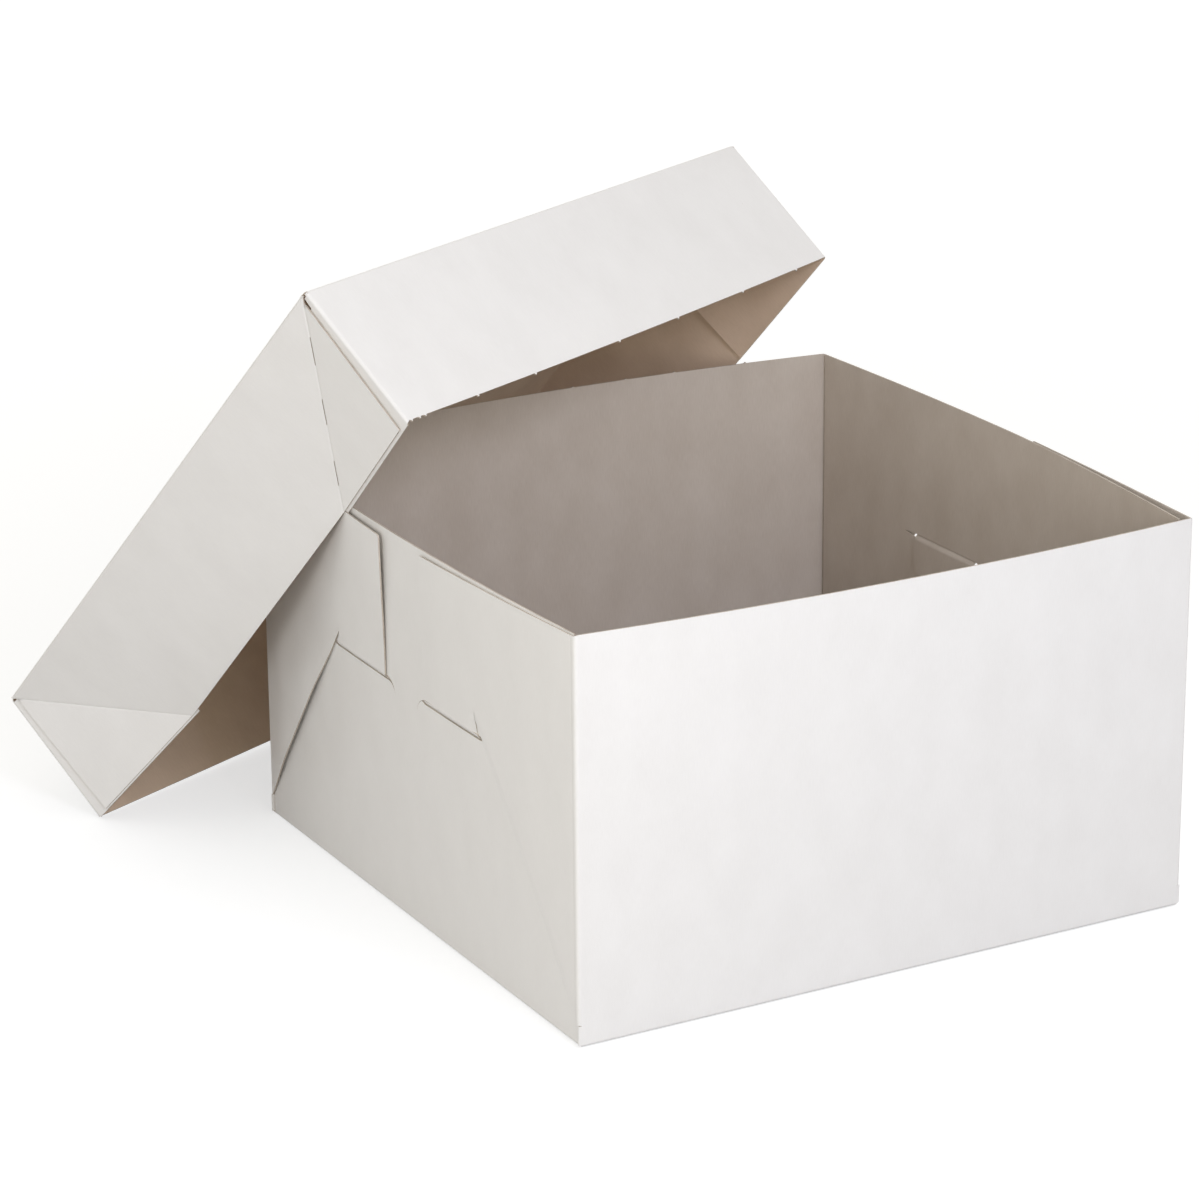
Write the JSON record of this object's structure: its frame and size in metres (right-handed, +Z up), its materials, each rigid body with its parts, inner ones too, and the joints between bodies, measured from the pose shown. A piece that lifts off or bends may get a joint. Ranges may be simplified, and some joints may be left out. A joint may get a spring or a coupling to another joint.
{
  "type": "cake box",
  "caption": "Square folding cake box of white-lined board: a deep tray with slotted corner flaps, and a shallow lid with creased, glued corners leaning on one tray corner.",
  "frame": {"origin": "centre of the tray's underside, on the table", "axes": "+Z up, +X to the right along the tray's front wall, +Y towards its back wall"},
  "size_m": [0.3375, 0.4282, 0.2425],
  "materials": {
    "white_lined_board": "smooth white coating on solid board, slightly greyer and matt inside"
  },
  "bodies": {
    "tray": {"tray_bottom": "white_lined_board", "tray_back_wall": "white_lined_board", "tray_left_wall": "white_lined_board", "tray_right_wall": "white_lined_board", "back_left_flap": "white_lined_board", "back_left_tab": "white_lined_board"},
    "front_wall": {"tray_front_wall": "white_lined_board"},
    "front_left_flap": {"front_left_flap": "white_lined_board", "front_left_tab": "white_lined_board"},
    "front_right_flap": {"front_right_flap": "white_lined_board", "front_right_tab": "white_lined_board"},
    "back_right_flap": {"back_right_flap": "white_lined_board", "back_right_tab": "white_lined_board"},
    "lid": {"lid_top": "white_lined_board", "lid_front_wall": "white_lined_board", "lid_back_wall": "white_lined_board", "lid_left_wall": "white_lined_board", "lid_right_wall": "white_lined_board", "lid_front_left_gusset": "white_lined_board", "lid_front_right_gusset": "white_lined_board", "lid_back_left_gusset": "white_lined_board", "lid_back_right_gusset": "white_lined_board", "lid_front_left_glue_flap": "white_lined_board", "lid_front_right_glue_flap": "white_lined_board", "lid_back_left_glue_flap": "white_lined_board", "lid_back_right_glue_flap": "white_lined_board"}
  },
  "joints": [
    {"name": "lid_lift", "type": "slide", "parent": "tray", "child": "lid", "axis": [-0.3067, 0.6917, 0.6539], "range_m": [0, 0.12]},
    {"name": "front_wall_fold", "type": "hinge", "parent": "tray", "child": "front_wall", "pos_m": [0, -0.1273, 0.0003], "axis": [1, 0, 0], "range_deg": [0, 85], "deforming": ["front_left_tab", "front_right_tab"]},
    {"name": "front_left_flap_fold", "type": "hinge", "parent": "front_wall", "child": "front_left_flap", "pos_m": [-0.1282, -0.1273, 0], "axis": [0, 0, 1], "range_deg": [0, 90], "deforming": ["front_left_tab"]},
    {"name": "front_right_flap_fold", "type": "hinge", "parent": "front_wall", "child": "front_right_flap", "pos_m": [0.1282, -0.1273, 0], "axis": [0, 0, -1], "range_deg": [0, 90], "deforming": ["front_right_tab"]},
    {"name": "back_right_flap_fold", "type": "hinge", "parent": "tray", "child": "back_right_flap", "pos_m": [0.1282, 0.1273, 0], "axis": [0, 0, 1], "range_deg": [0, 90], "deforming": ["back_right_tab"]}
  ]
}
